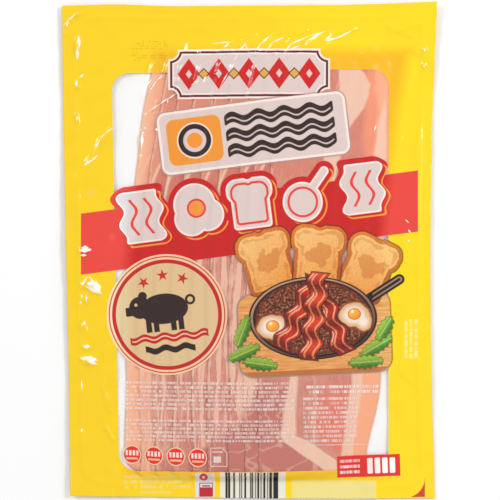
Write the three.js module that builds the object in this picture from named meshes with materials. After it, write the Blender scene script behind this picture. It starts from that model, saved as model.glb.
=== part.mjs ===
// A sealed flat pack of sliced bacon, lying on its back with its front up.
// Two films are welded together all round a shingled row of thin rashers, and the vacuum
// draws them down over the meat, so the outside of the pack shows every rasher's edge as a step.
// Millimetres, +Z up, +Y towards the top of the pack, origin under the middle of the pack.
import * as THREE from "three";

// The cut outline of the films
const PACK_WIDTH = 195;
const PACK_LENGTH = 258.4;
const HALF_WIDTH = PACK_WIDTH / 2;
const HALF_LENGTH = PACK_LENGTH / 2;
const LEFT_LEAN = 4.4; // how far the left edge leans in, top to bottom
const RIGHT_LEAN = 0.9;
const RIGHT_WAIST = 2.9; // how far the vacuum pulls the right edge in at mid-length
const TOP_EDGE = { low: 127.2, rise: 2, bump: 0.9, bumpAt: 0.14, bumpWidth: 0.09 };
const BOTTOM_EDGE = { low: 127.6, sag: 1.5, sagAt: 0.8, corner: 1.2, cornerWidth: 0.02 };

// The weld and the formed pocket inside it
const WELD_WIDTH = 6.5;
const WELD_THICKNESS = 0.4;
const POCKET_CORNER = 12;
const RIDGE_HEIGHT = 0.8; // the lip that runs round the pocket, just inside the weld
const RIDGE_HALF_WIDTH = 1.6;
const RIM_LIFT = 2.0; // the rim stands this far above what the pack rests on
const RIM_RISE_LENGTH = 14;

// The rashers
const RASHER_THICKNESS = 1.15;
const RASHER_SHIFTS = [0, 7.8, 16.1, 25.3, 35.1, 43.4, 54.1, 62, 69.8]; // of their left edges
const RASHER_WIDTH = 63.5;
const RASHER_TAPER = 8; // how much narrower they are at the bottom end
const RASHER_TOP = 103;
const RASHER_BOTTOM = -117;
const RASHER_CORNER = 9;
const ROW_LEFT = -65; // the lowest rasher's left edge, where it runs straight
const ROW_LEAN = 15; // how far that edge has leant to the right at the top
const RASHER_COUNT = RASHER_SHIFTS.length;
const LAST = RASHER_COUNT - 1;

// How the film drapes off the meat
const EDGE_FOOT = 1.2; // a step starts this far outside a rasher's left edge
const EDGE_CREST = 0.4;
const HIDDEN_OUT = 3; // the covered right edges show as a long soft slope
const HIDDEN_IN = 5;
const SIDE_FOOT = 2.2;
const TENT_TOP = 11; // the film reaches out this far beyond the rashers' ends
const TENT_BOTTOM = 4;

// Pleats where the spare film has gathered, each along a line between two points
const PLEAT_HEIGHT = 0.55;
const PLEAT_HALF_WIDTH = 1.9;
const PLEATS = [
  [-86, 44, -72, 64], [-87, -22, -78, -12], [-87, -59, -79, -55],
  [-54, 70, -38, 81], [-53, 84, -43, 93], [-12, 104, -4, 114], [4, 103, 15, 116],
  [22, 103, 39, 117], [44, 110, 55, 116], [71, 117, 86, 111], [-30, -119, -44, -123],
];

const clamp = (t) => Math.min(1, Math.max(0, t));
const smooth = (t) => clamp(t) ** 2 * (3 - 2 * clamp(t));

// The outline: each edge as a function of the other coordinate
const downPack = (y) => clamp((HALF_LENGTH - y) / PACK_LENGTH);
const acrossPack = (x) => clamp((x + HALF_WIDTH) / PACK_WIDTH);
const leftEdge = (y) => -HALF_WIDTH + LEFT_LEAN * (0.35 * downPack(y) + 0.65 * smooth(downPack(y)));
const rightEdge = (y) =>
  HALF_WIDTH - RIGHT_LEAN * downPack(y) - RIGHT_WAIST * Math.sin(Math.PI * downPack(y));

function topEdge(x) {
  const u = acrossPack(x);
  const bump = Math.exp(-(((u - TOP_EDGE.bumpAt) / TOP_EDGE.bumpWidth) ** 2));
  return TOP_EDGE.low + TOP_EDGE.rise * u ** 4 + TOP_EDGE.bump * bump;
}

function bottomEdge(x) {
  const u = acrossPack(x);
  const sag = Math.sin((Math.PI / 2) * Math.min(1, u / BOTTOM_EDGE.sagAt));
  const corner = BOTTOM_EDGE.corner * Math.exp(-u / BOTTOM_EDGE.cornerWidth);
  return corner - BOTTOM_EDGE.low - BOTTOM_EDGE.sag * sag;
}

// How deep a point lies inside a shape with round corners, from its distances to the four sides
function roundedDepth(left, right, bottom, top, radius) {
  const across = Math.min(left, right);
  const along = Math.min(bottom, top);
  if (across < radius && along < radius) {
    return radius - Math.hypot(radius - across, radius - along);
  }
  return Math.min(across, along);
}

const pocketDepth = (x, y) =>
  roundedDepth(
    x - leftEdge(y) - WELD_WIDTH,
    rightEdge(y) - x - WELD_WIDTH,
    y - bottomEdge(x) - WELD_WIDTH,
    topEdge(x) - y - WELD_WIDTH,
    POCKET_CORNER,
  );

// The rashers' outlines. Each lies further to the right than the one under it.
const rasherTop = (k) => RASHER_TOP + Math.sin(1.9 * k);
const rasherBottom = (k) => RASHER_BOTTOM + 0.9 * Math.cos(2.3 * k);

function cornerInset(k, y) {
  const toEnd = Math.min(rasherTop(k) - y, y - rasherBottom(k));
  return RASHER_CORNER * clamp(1 - toEnd / RASHER_CORNER) ** 2.4;
}

const rowLean = (y) => ROW_LEAN * Math.max(0, (y + 45) / 145) ** 1.9;
const cutWave = (k, y) => 0.5 * Math.sin(y / 15 + 2.1 * k) + 0.2 * Math.sin(y / 6.5 + 4.3 * k);
const rasherLeft = (k, y) =>
  ROW_LEFT + RASHER_SHIFTS[k] + rowLean(y) + cutWave(k, y) + cornerInset(k, y);
const rasherRight = (k, y) =>
  ROW_LEFT + RASHER_SHIFTS[k] + rowLean(y) + RASHER_WIDTH + cutWave(k + 4, y)
  - RASHER_TAPER * smooth((-60 - y) / 60) - cornerInset(k, y);

// Height of the film over the stacked rashers
function meatHeight(x, y) {
  let layers = 0;
  for (let k = 0; k < RASHER_COUNT; k++) {
    const fromLeft = smooth((x - rasherLeft(k, y) + EDGE_FOOT) / (EDGE_FOOT + EDGE_CREST));
    const out = k === LAST ? SIDE_FOOT : HIDDEN_OUT;
    const inside = k === LAST ? EDGE_CREST : HIDDEN_IN;
    const fromRight = smooth((rasherRight(k, y) + out - x) / (out + inside));
    const fromTop = smooth((rasherTop(k) + TENT_TOP - y) / (TENT_TOP + 1));
    const fromBottom = smooth((y - rasherBottom(k) + TENT_BOTTOM) / (TENT_BOTTOM + 1));
    layers += fromLeft * fromRight * fromTop * fromBottom;
  }
  return RASHER_THICKNESS * layers;
}

function pleatHeight(x, y) {
  let height = 0;
  for (const [x0, y0, x1, y1] of PLEATS) {
    const along = clamp(
      ((x - x0) * (x1 - x0) + (y - y0) * (y1 - y0)) / ((x1 - x0) ** 2 + (y1 - y0) ** 2),
    );
    const away = Math.hypot(x - x0 - along * (x1 - x0), y - y0 - along * (y1 - y0));
    height += PLEAT_HEIGHT * Math.exp(-((away / PLEAT_HALF_WIDTH) ** 2));
  }
  return height;
}

// Height of the underside: flat under the meat, then rising to a wavy rim
function undersideHeight(x, y) {
  const inMeat = roundedDepth(
    x - rasherLeft(0, y),
    rasherRight(LAST, y) - x,
    y - RASHER_BOTTOM,
    RASHER_TOP - y,
    RASHER_CORNER,
  );
  const waves = 0.5 * Math.sin(x / 23 + 0.7) + 0.45 * Math.sin(y / 31 + 1.9) + 0.25 * Math.sin((x + y) / 17);
  const diagonal = x / HALF_WIDTH + y / HALF_LENGTH;
  const corners = 2.4 * smooth((diagonal - 1.5) / 0.5) + 1.4 * smooth((-diagonal - 1.5) / 0.5);
  const ridge = RIDGE_HEIGHT * Math.exp(-((pocketDepth(x, y) / RIDGE_HALF_WIDTH) ** 2));
  return (RIM_LIFT + waves + corners + ridge) * smooth(-inMeat / RIM_RISE_LENGTH);
}

// Column places for the surface grid: they follow the weld, the ridge and every rasher's edge
function between(from, to, count) {
  return Array.from({ length: count }, (_, i) => from + ((to - from) * (i + 1)) / (count + 1));
}

function columns(y) {
  const ridge = 1.5 * RIDGE_HALF_WIDTH;
  const left = leftEdge(y);
  const right = rightEdge(y);
  const pocketLeft = left + WELD_WIDTH;
  const pocketRight = right - WELD_WIDTH;
  const firstFoot = rasherLeft(0, y) - EDGE_FOOT;
  const lastFoot = rasherRight(LAST, y) + SIDE_FOOT;
  const places = [left, left + WELD_WIDTH / 3, pocketLeft - ridge, pocketLeft, pocketLeft + ridge];
  places.push(...between(pocketLeft + ridge, firstFoot, 4));
  for (let k = 0; k < RASHER_COUNT; k++) {
    const edge = rasherLeft(k, y);
    places.push(edge - EDGE_FOOT, edge + EDGE_CREST);
    if (k < LAST) {
      places.push((edge + EDGE_CREST + rasherLeft(k + 1, y) - EDGE_FOOT) / 2);
    }
  }
  const lastCrest = rasherRight(LAST, y) - EDGE_CREST;
  places.push(...between(rasherLeft(LAST, y) + EDGE_CREST, lastCrest, 7), lastCrest, lastFoot);
  places.push(...between(lastFoot, pocketRight - ridge, 2));
  places.push(pocketRight - ridge, pocketRight, pocketRight + ridge, right - WELD_WIDTH / 3, right);
  return places;
}

// Row places: close together at the two ends, and every 7 mm between them
const ROW_TOP = 127.9;
const ROW_BOTTOM = -128.6;
const END_ZONE = 25; // where the rows bend to follow the cut ends
const rows = [
  ROW_BOTTOM, -126.5, -124.4, -122.1, -120.2, -118.4, -116.4, -113.5, -109.5, -104,
  ...Array.from({ length: 27 }, (_, i) => -97.5 + 7 * i),
  90, 94.5, 98, 102, 105, 108, 111, 114, 117, 119.2, 121.4, 123.7, 125.8, ROW_TOP,
];

function rowHeight(nominal, x) {
  const up = smooth((nominal - ROW_TOP + END_ZONE) / END_ZONE);
  const down = smooth((ROW_BOTTOM + END_ZONE - nominal) / END_ZONE);
  return nominal + (topEdge(x) - ROW_TOP) * up + (bottomEdge(x) - ROW_BOTTOM) * down;
}

// The whole pack as one closed surface: front, underside and the cut rim between them
function packGeometry() {
  const front = [];
  const underside = [];
  const width = columns(0).length;
  for (const nominal of rows) {
    const places = columns(nominal);
    for (let c = 0; c < width; c++) {
      const y = rowHeight(nominal, places[c]);
      const x = columns(y)[c];
      const low = undersideHeight(x, y);
      underside.push(x, y, low);
      front.push(x, y, low + WELD_THICKNESS + meatHeight(x, y) + pleatHeight(x, y));
    }
  }

  const count = rows.length * width;
  const index = [];
  const quad = (a, b, c, d) => index.push(a, b, c, a, c, d);
  for (let r = 0; r + 1 < rows.length; r++) {
    for (let c = 0; c + 1 < width; c++) {
      const a = r * width + c;
      quad(a, a + 1, a + 1 + width, a + width);
      quad(count + a, count + a + width, count + a + 1 + width, count + a + 1);
    }
  }
  const wall = (from, to) => quad(count + from, count + to, to, from);
  const lastRow = (rows.length - 1) * width;
  for (let c = 0; c + 1 < width; c++) {
    wall(c, c + 1);
    wall(lastRow + c + 1, lastRow + c);
  }
  for (let r = 0; r + 1 < rows.length; r++) {
    wall((r + 1) * width, r * width);
    wall(r * width + width - 1, (r + 1) * width + width - 1);
  }

  const geometry = new THREE.BufferGeometry();
  geometry.setAttribute("position", new THREE.Float32BufferAttribute([...front, ...underside], 3));
  geometry.setIndex(index);
  geometry.computeVertexNormals();
  return geometry;
}

const film = new THREE.MeshStandardMaterial({ color: 0xf9dc2e, roughness: 0.3, metalness: 0 });
const pack = new THREE.Mesh(packGeometry(), film);
pack.name = "sealed_pack";

const group = new THREE.Group();
group.add(pack);

export default group;
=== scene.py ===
"""A sealed flat pack of sliced bacon on its back: a printed front film, a clear back film, and nine
shingled rashers between them. Lengths are in millimetres until a mesh is finished."""
import math

import bpy
import numpy as np
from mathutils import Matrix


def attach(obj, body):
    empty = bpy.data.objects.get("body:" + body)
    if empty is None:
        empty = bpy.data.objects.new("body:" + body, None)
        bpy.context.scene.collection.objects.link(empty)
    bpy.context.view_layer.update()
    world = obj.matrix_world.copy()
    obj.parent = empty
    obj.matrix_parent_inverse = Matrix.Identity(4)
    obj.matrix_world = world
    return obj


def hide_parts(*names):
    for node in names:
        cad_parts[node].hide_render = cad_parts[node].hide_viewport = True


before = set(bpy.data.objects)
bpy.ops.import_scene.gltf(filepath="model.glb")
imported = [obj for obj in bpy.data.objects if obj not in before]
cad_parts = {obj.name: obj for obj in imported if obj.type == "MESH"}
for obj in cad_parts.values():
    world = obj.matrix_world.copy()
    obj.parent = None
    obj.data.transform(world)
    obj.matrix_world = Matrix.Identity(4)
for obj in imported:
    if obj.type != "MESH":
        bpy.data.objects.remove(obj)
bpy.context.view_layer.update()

MM = 0.001


def add_object(name, data):
    made = bpy.data.objects.new(name, data)
    bpy.context.collection.objects.link(made)
    return made


# The camera: straight down on the front, as the photograph looks at it
PHOTO_SIDE = 260.0  # what the square frame covers
PHOTO_MIDDLE = (0.26, 0.26)
FILM_HEIGHT = 2.5  # where the frame covers just that much
LENS = 100.0
SENSOR = 36.0
camera = add_object("camera", bpy.data.cameras.new("camera"))
camera.data.lens = LENS
camera.data.sensor_width = SENSOR
camera.data.clip_start = 0.01
camera.location = [place * MM for place in (*PHOTO_MIDDLE, PHOTO_SIDE * LENS / SENSOR + FILM_HEIGHT)]
bpy.context.scene.camera = camera
bpy.context.scene.view_settings.view_transform = "Standard"


# Nodes from arithmetic

class Value:
    """A number from a node. Arithmetic on it adds Math nodes to the same tree."""

    def __init__(self, maker, socket):
        self.maker = maker
        self.socket = socket

    def __add__(self, other):
        return self.maker.maths("ADD", self, other)

    def __sub__(self, other):
        return self.maker.maths("SUBTRACT", self, other)

    def __rsub__(self, other):
        return self.maker.maths("SUBTRACT", other, self)

    def __mul__(self, other):
        return self.maker.maths("MULTIPLY", self, other)

    def __truediv__(self, other):
        return self.maker.maths("DIVIDE", self, other)

    def __rtruediv__(self, other):
        return self.maker.maths("DIVIDE", other, self)

    def __pow__(self, other):
        return self.maker.maths("POWER", self, other)

    def __neg__(self):
        return self.maker.maths("MULTIPLY", self, -1.0)

    def __abs__(self):
        return self.maker.maths("ABSOLUTE", self)

    __radd__ = __add__
    __rmul__ = __mul__


class Maker:
    """Adds nodes to one tree."""

    def __init__(self, tree):
        self.tree = tree

    def node(self, kind, settings=None, sockets=None):
        """A node of one type, its settings set first, and then the values or links of its sockets."""
        made = self.tree.nodes.new(kind)
        for name, setting in (settings or {}).items():
            setattr(made, name, setting)
        for name, value in (sockets or {}).items():
            socket = made.inputs[name]
            if isinstance(value, Value):
                value = value.socket
            if isinstance(value, bpy.types.NodeSocket):
                self.tree.links.new(value, socket)
            elif isinstance(value, tuple) and len(value) == 3 and socket.type == "RGBA":
                socket.default_value = (*value, 1.0)
            else:
                socket.default_value = value
        return made

    def maths(self, operation, *values, clamped=False):
        made = self.node(
            "ShaderNodeMath",
            {"operation": operation, "use_clamp": clamped},
            dict(enumerate(values)),
        )
        return Value(self, made.outputs[0])

    def mix(self, share, under, over, way="MIX"):
        """A colour between two others."""
        made = self.node(
            "ShaderNodeMix",
            {"data_type": "RGBA", "blend_type": way},
            {0: share, 6: under, 7: over},
        )
        return made.outputs[2]

    def vector(self, x, y, z=0.0):
        return self.node("ShaderNodeCombineXYZ", None, {0: x, 1: y, 2: z}).outputs[0]

    def noise(self, place, scale, detail=2.0, roughness=0.5):
        """Perlin noise from 0 to 1, about 0.5."""
        made = self.node(
            "ShaderNodeTexNoise",
            {"noise_dimensions": "3D"},
            {"Vector": place, "Scale": scale, "Detail": detail, "Roughness": roughness},
        )
        return Value(self, made.outputs[0])

    def chance(self, *cells):
        """A fixed random number from 0 to 1 for each whole-number cell."""
        made = self.node(
            "ShaderNodeTexWhiteNoise", {"noise_dimensions": "3D"}, {"Vector": self.vector(*cells)}
        )
        return Value(self, made.outputs[0])

    def attribute(self, name):
        """A number that the piece keeps at its points."""
        made = self.node("ShaderNodeAttribute", {"attribute_name": name})
        return Value(self, made.outputs["Fac"])

    def surface(self, sockets, bump=None):
        """A material's shader. A bump is given by its strength, its depth in metres and its height."""
        if bump is not None:
            made = self.node("ShaderNodeBump", None, dict(zip(("Strength", "Distance", "Height"), bump)))
            sockets = {**sockets, "Normal": made.outputs[0]}
        shader = self.node("ShaderNodeBsdfPrincipled", None, sockets)
        self.node("ShaderNodeOutputMaterial", None, {0: shader.outputs[0]})


def either(operation, worked_out, *values):
    """A Math node where a value comes from a node, and otherwise numpy's answer."""
    for value in values:
        if isinstance(value, Value):
            return value.maker.maths(operation, *values)
    return worked_out(*values)


def low(a, b):
    return either("MINIMUM", np.minimum, a, b)


def high(a, b):
    return either("MAXIMUM", np.maximum, a, b)


def sine(a):
    return either("SINE", np.sin, a)


def clamp(a):
    return low(1.0, high(0.0, a))


def smooth(a):
    t = clamp(a)
    return t * t * (3.0 - 2.0 * t)


def length(a, b):
    return (a * a + b * b) ** 0.5


def rounded(a, b, corner):
    """Distance to a round-cornered shape, from how far past the straight parts of its sides it is."""
    return length(high(a, 0.0), high(b, 0.0)) + low(high(a, b), 0.0) - corner


# The pack's form, as in the solid

PACK_WIDTH = 195.0
PACK_LENGTH = 258.4
HALF_WIDTH = PACK_WIDTH / 2
HALF_LENGTH = PACK_LENGTH / 2

WELD_WIDTH = 6.5
FILM_GAP = 0.4  # from the back film to the front film, where nothing lies between them
POCKET_CORNER = 12.0
RIDGE_HEIGHT = 0.8
RIDGE_HALF_WIDTH = 1.6
RIM_LIFT = 2.0
RIM_RISE_LENGTH = 14.0

RASHER_THICKNESS = 1.15
RASHER_SHIFTS = [0.0, 7.8, 16.1, 25.3, 35.1, 43.4, 54.1, 62.0, 69.8]
RASHER_COUNT = len(RASHER_SHIFTS)
LAST = RASHER_COUNT - 1
RASHER_WIDTH = 63.5
RASHER_TAPER = 8.0
RASHER_TOP = 103.0
RASHER_BOTTOM = -117.0
RASHER_CORNER = 9.0
LOWER_CORNER = 3.0  # of the rashers after the first
ROW_LEFT = -65.0
ROW_LEAN = 15.0

EDGE_FOOT = 1.2
EDGE_CREST = 0.4
FILM_FOOT = 3.2  # how far before an edge the film starts to rise to it
HIDDEN_OUT = 3.0
HIDDEN_IN = 5.0
SIDE_FOOT = 2.2
FILM_SIDE_FOOT = 9.0
TENT_TOP = 11.0
TENT_BOTTOM = 4.0

PLEAT_HEIGHT = 0.55
PLEAT_HALF_WIDTH = 1.9
PLEATS = [
    (-86, 44, -72, 64), (-87, -22, -78, -12), (-87, -59, -79, -55),
    (-54, 70, -38, 81), (-53, 84, -43, 93), (-12, 104, -4, 114), (4, 103, 15, 116),
    (22, 103, 39, 117), (44, 110, 55, 116), (71, 117, 86, 111), (-30, -119, -44, -123),
]

ROW_PLACES = (
    [-128.6, -126.5, -124.4, -122.1, -120.2, -118.4, -116.4, -113.5, -109.5, -104.0]
    + [-97.5 + 7.0 * i for i in range(27)]
    + [90.0, 94.5, 98.0, 102.0, 105.0, 108.0, 111.0, 114.0, 117.0, 119.2, 121.4, 123.7, 125.8, 127.9]
)
END_ZONE = 25.0


def down_pack(y):
    return clamp((HALF_LENGTH - y) / PACK_LENGTH)


def left_edge(y):
    return -HALF_WIDTH + 4.4 * (0.35 * down_pack(y) + 0.65 * smooth(down_pack(y)))


def right_edge(y):
    return HALF_WIDTH - 0.9 * down_pack(y) - 2.9 * sine(math.pi * down_pack(y))


def top_edge(x):
    u = clamp((x + HALF_WIDTH) / PACK_WIDTH)
    return 127.2 + 2.0 * u**4 + 0.9 * np.exp(-(((u - 0.14) / 0.09) ** 2))


def bottom_edge(x):
    u = clamp((x + HALF_WIDTH) / PACK_WIDTH)
    return 1.2 * np.exp(-u / 0.02) - 127.6 - 1.5 * sine(math.pi / 2 * low(1.0, u / 0.8))


def rounded_depth(left, right, bottom, top, radius):
    """How deep a point lies inside a shape with round corners, from its distances to the sides."""
    across = low(left, right)
    along = low(bottom, top)
    corner = radius - np.hypot(radius - across, radius - along)
    return np.where((across < radius) & (along < radius), corner, low(across, along))


def top_end(k):
    return RASHER_TOP + sine(1.9 * k)


def bottom_end(k):
    return RASHER_BOTTOM + 0.9 * sine(2.3 * k + math.pi / 2)


def row_lean(y):
    return ROW_LEAN * high(0.0, (y + 45.0) / 145.0) ** 1.9


def cut_wave(k, y):
    return 0.5 * sine(y / 15.0 + 2.1 * k) + 0.2 * sine(y / 6.5 + 4.3 * k)


def corner_inset(k, y):
    lower = LOWER_CORNER + (RASHER_CORNER - LOWER_CORNER) * clamp(1.0 - k)
    at_top = RASHER_CORNER * clamp(1.0 - (top_end(k) - y) / RASHER_CORNER) ** 2.4
    return at_top + lower * clamp(1.0 - (y - bottom_end(k)) / lower) ** 2.4


def rasher_left(k, shift, y):
    return ROW_LEFT + shift + row_lean(y) + cut_wave(k, y) + corner_inset(k, y)


def rasher_right(k, shift, y, width=RASHER_WIDTH):
    right = ROW_LEFT + shift + row_lean(y) + width + cut_wave(k + 4.0, y)
    return right - RASHER_TAPER * smooth((-60.0 - y) / 60.0) - corner_inset(k, y)


def drape(k, shift, last, x, y, width=RASHER_WIDTH, foot=EDGE_FOOT, side_foot=SIDE_FOOT):
    """How much of one rasher's thickness whatever lies on it shows, from 0 to 1."""
    from_left = smooth((x - rasher_left(k, shift, y) + foot) / (foot + EDGE_CREST))
    out = HIDDEN_OUT + last * (side_foot - HIDDEN_OUT)
    inside = HIDDEN_IN + last * (EDGE_CREST - HIDDEN_IN)
    from_right = smooth((rasher_right(k, shift, y, width) + out - x) / (out + inside))
    from_top = smooth((top_end(k) + TENT_TOP - y) / (TENT_TOP + 1.0))
    from_bottom = smooth((y - bottom_end(k) + TENT_BOTTOM) / (TENT_BOTTOM + 1.0))
    return from_left * from_right * from_top * from_bottom


def film_height(x, y):
    """How far the rashers hold the front film up."""
    return RASHER_THICKNESS * sum(
        drape(float(k), shift, float(k == LAST), x, y, foot=FILM_FOOT, side_foot=FILM_SIDE_FOOT)
        for k, shift in enumerate(RASHER_SHIFTS)
    )


def fold(x0, y0, x1, y1, tall, wide, x, y):
    """A fold in the film along a line between two points. One wider than 1 mm fades to its ends."""
    along = clamp(((x - x0) * (x1 - x0) + (y - y0) * (y1 - y0)) / ((x1 - x0) ** 2 + (y1 - y0) ** 2))
    away = np.hypot(x - x0 - along * (x1 - x0), y - y0 - along * (y1 - y0))
    if wide > 1.0:
        fade = 4.0 * along * (1.0 - along)
        tall, wide = tall * fade**0.5, wide * (0.35 + 0.65 * fade)
    return tall * np.exp(-((away / wide) ** 2))


def back_height(x, y):
    in_meat = rounded_depth(
        x - rasher_left(0.0, RASHER_SHIFTS[0], y), rasher_right(float(LAST), RASHER_SHIFTS[LAST], y) - x,
        y - RASHER_BOTTOM, RASHER_TOP - y, RASHER_CORNER,
    )
    in_pocket = rounded_depth(
        x - left_edge(y) - WELD_WIDTH, right_edge(y) - x - WELD_WIDTH,
        y - bottom_edge(x) - WELD_WIDTH, top_edge(x) - y - WELD_WIDTH, POCKET_CORNER,
    )
    waves = 0.5 * sine(x / 23 + 0.7) + 0.45 * sine(y / 31 + 1.9) + 0.25 * sine((x + y) / 17)
    diagonal = x / HALF_WIDTH + y / HALF_LENGTH
    corners = 2.4 * smooth((diagonal - 1.5) / 0.5) + 1.4 * smooth((-diagonal - 1.5) / 0.5)
    ridge = RIDGE_HEIGHT * np.exp(-((in_pocket / RIDGE_HALF_WIDTH) ** 2))
    # Lower than the solid's ridge, and lowest at the ends and on the right, where it shines least
    ends = smooth((abs(y) - 100.0) / 20.0)
    right_side = smooth((x - 60.0) / 30.0)
    ridge = ridge * (0.6 - 0.25 * ends) * (1.0 - 0.2 * right_side)
    return (RIM_LIFT + waves + corners + ridge) * smooth(-in_meat / RIM_RISE_LENGTH)


# The two films

CREASE_STEEPNESS = 1.35
CRINKLE_SEED = 11
CRINKLE_WAVES = 14
LENGTH_OVER_HEIGHT = 260.0  # of each wave in the loose film
FRONT_STEPS = (5, 7)  # in each gap of the grid, across and along
BACK_STEPS = (2, 3)

# Sharp creases: from a point, to a point, height and half-width
CREASES = [
    # left margin
    (-86, 45, -80, 49, 0.7, 1.1), (-80, 49, -77.5, 57, 0.4, 0.9),
    (-77.5, 57, -71, 64.5, 0.4, 0.9), (-96.2, 112.5, -95.4, 116.5, 0.4, 0.8),
    (-95.4, 116.5, -93.4, 120, 0.4, 0.8), (-93.4, 120, -90, 122.4, 0.4, 0.8),
    (-90, 122.4, -85.5, 123.8, 0.36, 0.8), (-89.6, 111, -90.2, 101, 0.9, 1.2),
    (-90, 87.5, -89.2, 83.5, 0.8, 1.2),
    (-90.2, 70, -89.8, 67, 0.7, 0.9), (-89.2, 0.4, -82.4, -1, 1, 2.3),
    (-88.4, -18.6, -80.4, -16, 1, 2.2), (-84.4, -15, -77, -22.6, 1.1, 2.4),
    (-86.4, -22, -84.2, -28, 0.6, 1.2), (-87.2, -49.4, -83.2, -51, 0.9, 1.8),
    (-88.6, -56, -79, -59, 1.1, 2.3), (-87.5, -38, -86.9, -42, 0.5, 1.2),
    # on the rashers at the left
    (-54, 70, -46.5, 78, 0.45, 0.85), (-46.5, 78, -38, 83, 0.45, 0.85),
    (-52.5, 84, -49, 89.5, 0.45, 0.85), (-49, 89.5, -43.5, 92.5, 0.4, 0.85),
    (-56.2, 61.5, -57, 51.5, 0.7, 0.9), (-57.2, 49.5, -57.4, 46.5, 0.6, 0.9),
    # above the rashers
    (-40, 88, -30, 87, 0.4, 0.8), (-30, 87, -22, 91, 0.35, 0.8),
    (-22, 91, -12, 92, 0.35, 0.8), (-12, 101, -5, 109.5, 0.45, 0.8),
    (-5, 109.5, 3, 112.5, 0.4, 0.8), (3, 101, 7, 110, 0.45, 0.8),
    (7, 110, 17, 113.5, 0.4, 0.8), (13, 101.5, 19.5, 110, 0.45, 0.8),
    (19.5, 110, 30, 114.5, 0.4, 0.8), (24, 103, 34, 112, 0.45, 0.8),
    (39, 108.5, 46, 110.5, 0.45, 0.9), (46, 110.5, 54, 115, 0.45, 0.9),
    (39, 108.5, 44, 113.5, 0.45, 0.9), (76, 114, 90, 118, 0.3, 1.3),
    # right margin
    (91, 106, 90.8, 102.5, 0.7, 1.2), (91, 98.5, 90.8, 94.5, 0.6, 1.2),
    (74, 52, 80, 60, 0.3, 1.4), (76, -60, 86, -70, 0.3, 1.6),
    # low down
    (0.5, -102.5, 4, -108.5, 0.3, 0.8), (4, -108.5, 13, -110.5, 0.3, 0.8),
    (22, -104, 34, -107.5, 0.25, 0.8), (-14, -108, 0, -112, 0.25, 0.8),
    (-76.5, -70, -73, -84, 0.5, 1), (-75, -92, -71, -99, 0.6, 1),
]


def crinkle(x, y):
    """Shallow unevenness of the loose film, from a few crossing waves."""
    rng = np.random.default_rng(CRINKLE_SEED)
    height = 0.0
    for _ in range(CRINKLE_WAVES):
        angle, wave, phase = rng.uniform(0, math.pi), rng.uniform(7, 26), rng.uniform(0, 2 * math.pi)
        way = x * math.cos(angle) + y * math.sin(angle)
        height = height + wave * sine(way * 2 * math.pi / wave + phase)
    return height / LENGTH_OVER_HEIGHT


def columns(y):
    """Places across the pack at one height, following the weld, the ridge and every rasher's edge."""
    ridge = 1.5 * RIDGE_HALF_WIDTH
    left, right = left_edge(y), right_edge(y)
    pocket_left, pocket_right = left + WELD_WIDTH, right - WELD_WIDTH
    edges = [rasher_left(float(k), shift, y) for k, shift in enumerate(RASHER_SHIFTS)]
    side = rasher_right(float(LAST), RASHER_SHIFTS[LAST], y)
    places = [left, left + WELD_WIDTH / 3, pocket_left - ridge, pocket_left]
    places += list(np.linspace(pocket_left + ridge, edges[0] - EDGE_FOOT, 6))
    for k, edge in enumerate(edges[:-1]):
        following = edges[k + 1] - EDGE_FOOT
        places += [edge + EDGE_CREST, (edge + EDGE_CREST + following) / 2, following]
    places += list(np.linspace(edges[LAST] + EDGE_CREST, side - EDGE_CREST, 9))
    places += list(np.linspace(side + SIDE_FOOT, pocket_right - ridge, 4))
    places += [pocket_right, pocket_right + ridge, right - WELD_WIDTH / 3, right]
    return np.array(places)


def finer(places, steps):
    """The same places with every gap divided."""
    at = np.arange(len(places))
    return np.interp(np.linspace(0, len(places) - 1, (len(places) - 1) * steps + 1), at, places)


def film_grid(steps_across, steps_along):
    """x and y of a grid over the whole pack, its outer rows on the cut edges."""
    nominal = finer(np.array(ROW_PLACES), steps_along)
    x = np.array([finer(columns(y), steps_across) for y in nominal])
    up = smooth((nominal[:, None] - ROW_PLACES[-1] + END_ZONE) / END_ZONE)
    down = smooth((ROW_PLACES[0] + END_ZONE - nominal[:, None]) / END_ZONE)
    y = nominal[:, None] + (top_edge(x) - ROW_PLACES[-1]) * up + (bottom_edge(x) - ROW_PLACES[0]) * down
    return x, y


def make_mesh(name, points, faces, materials, face_materials=None):
    mesh = bpy.data.meshes.new(name)
    mesh.from_pydata((np.asarray(points) * MM).tolist(), [], np.asarray(faces).tolist())
    for material in materials:
        mesh.materials.append(material)
    if face_materials is not None:
        mesh.polygons.foreach_set("material_index", np.asarray(face_materials, dtype=np.int32))
    mesh.polygons.foreach_set("use_smooth", np.ones(len(mesh.polygons), dtype=bool))
    mesh.update()
    return add_object(name, mesh)


def grid_faces(rows, across, first=0):
    corner = np.arange(rows - 1)[:, None] * across + np.arange(across - 1)[None, :] + first
    return np.stack([corner, corner + 1, corner + across + 1, corner + across], -1).reshape(-1, 4)


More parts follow.
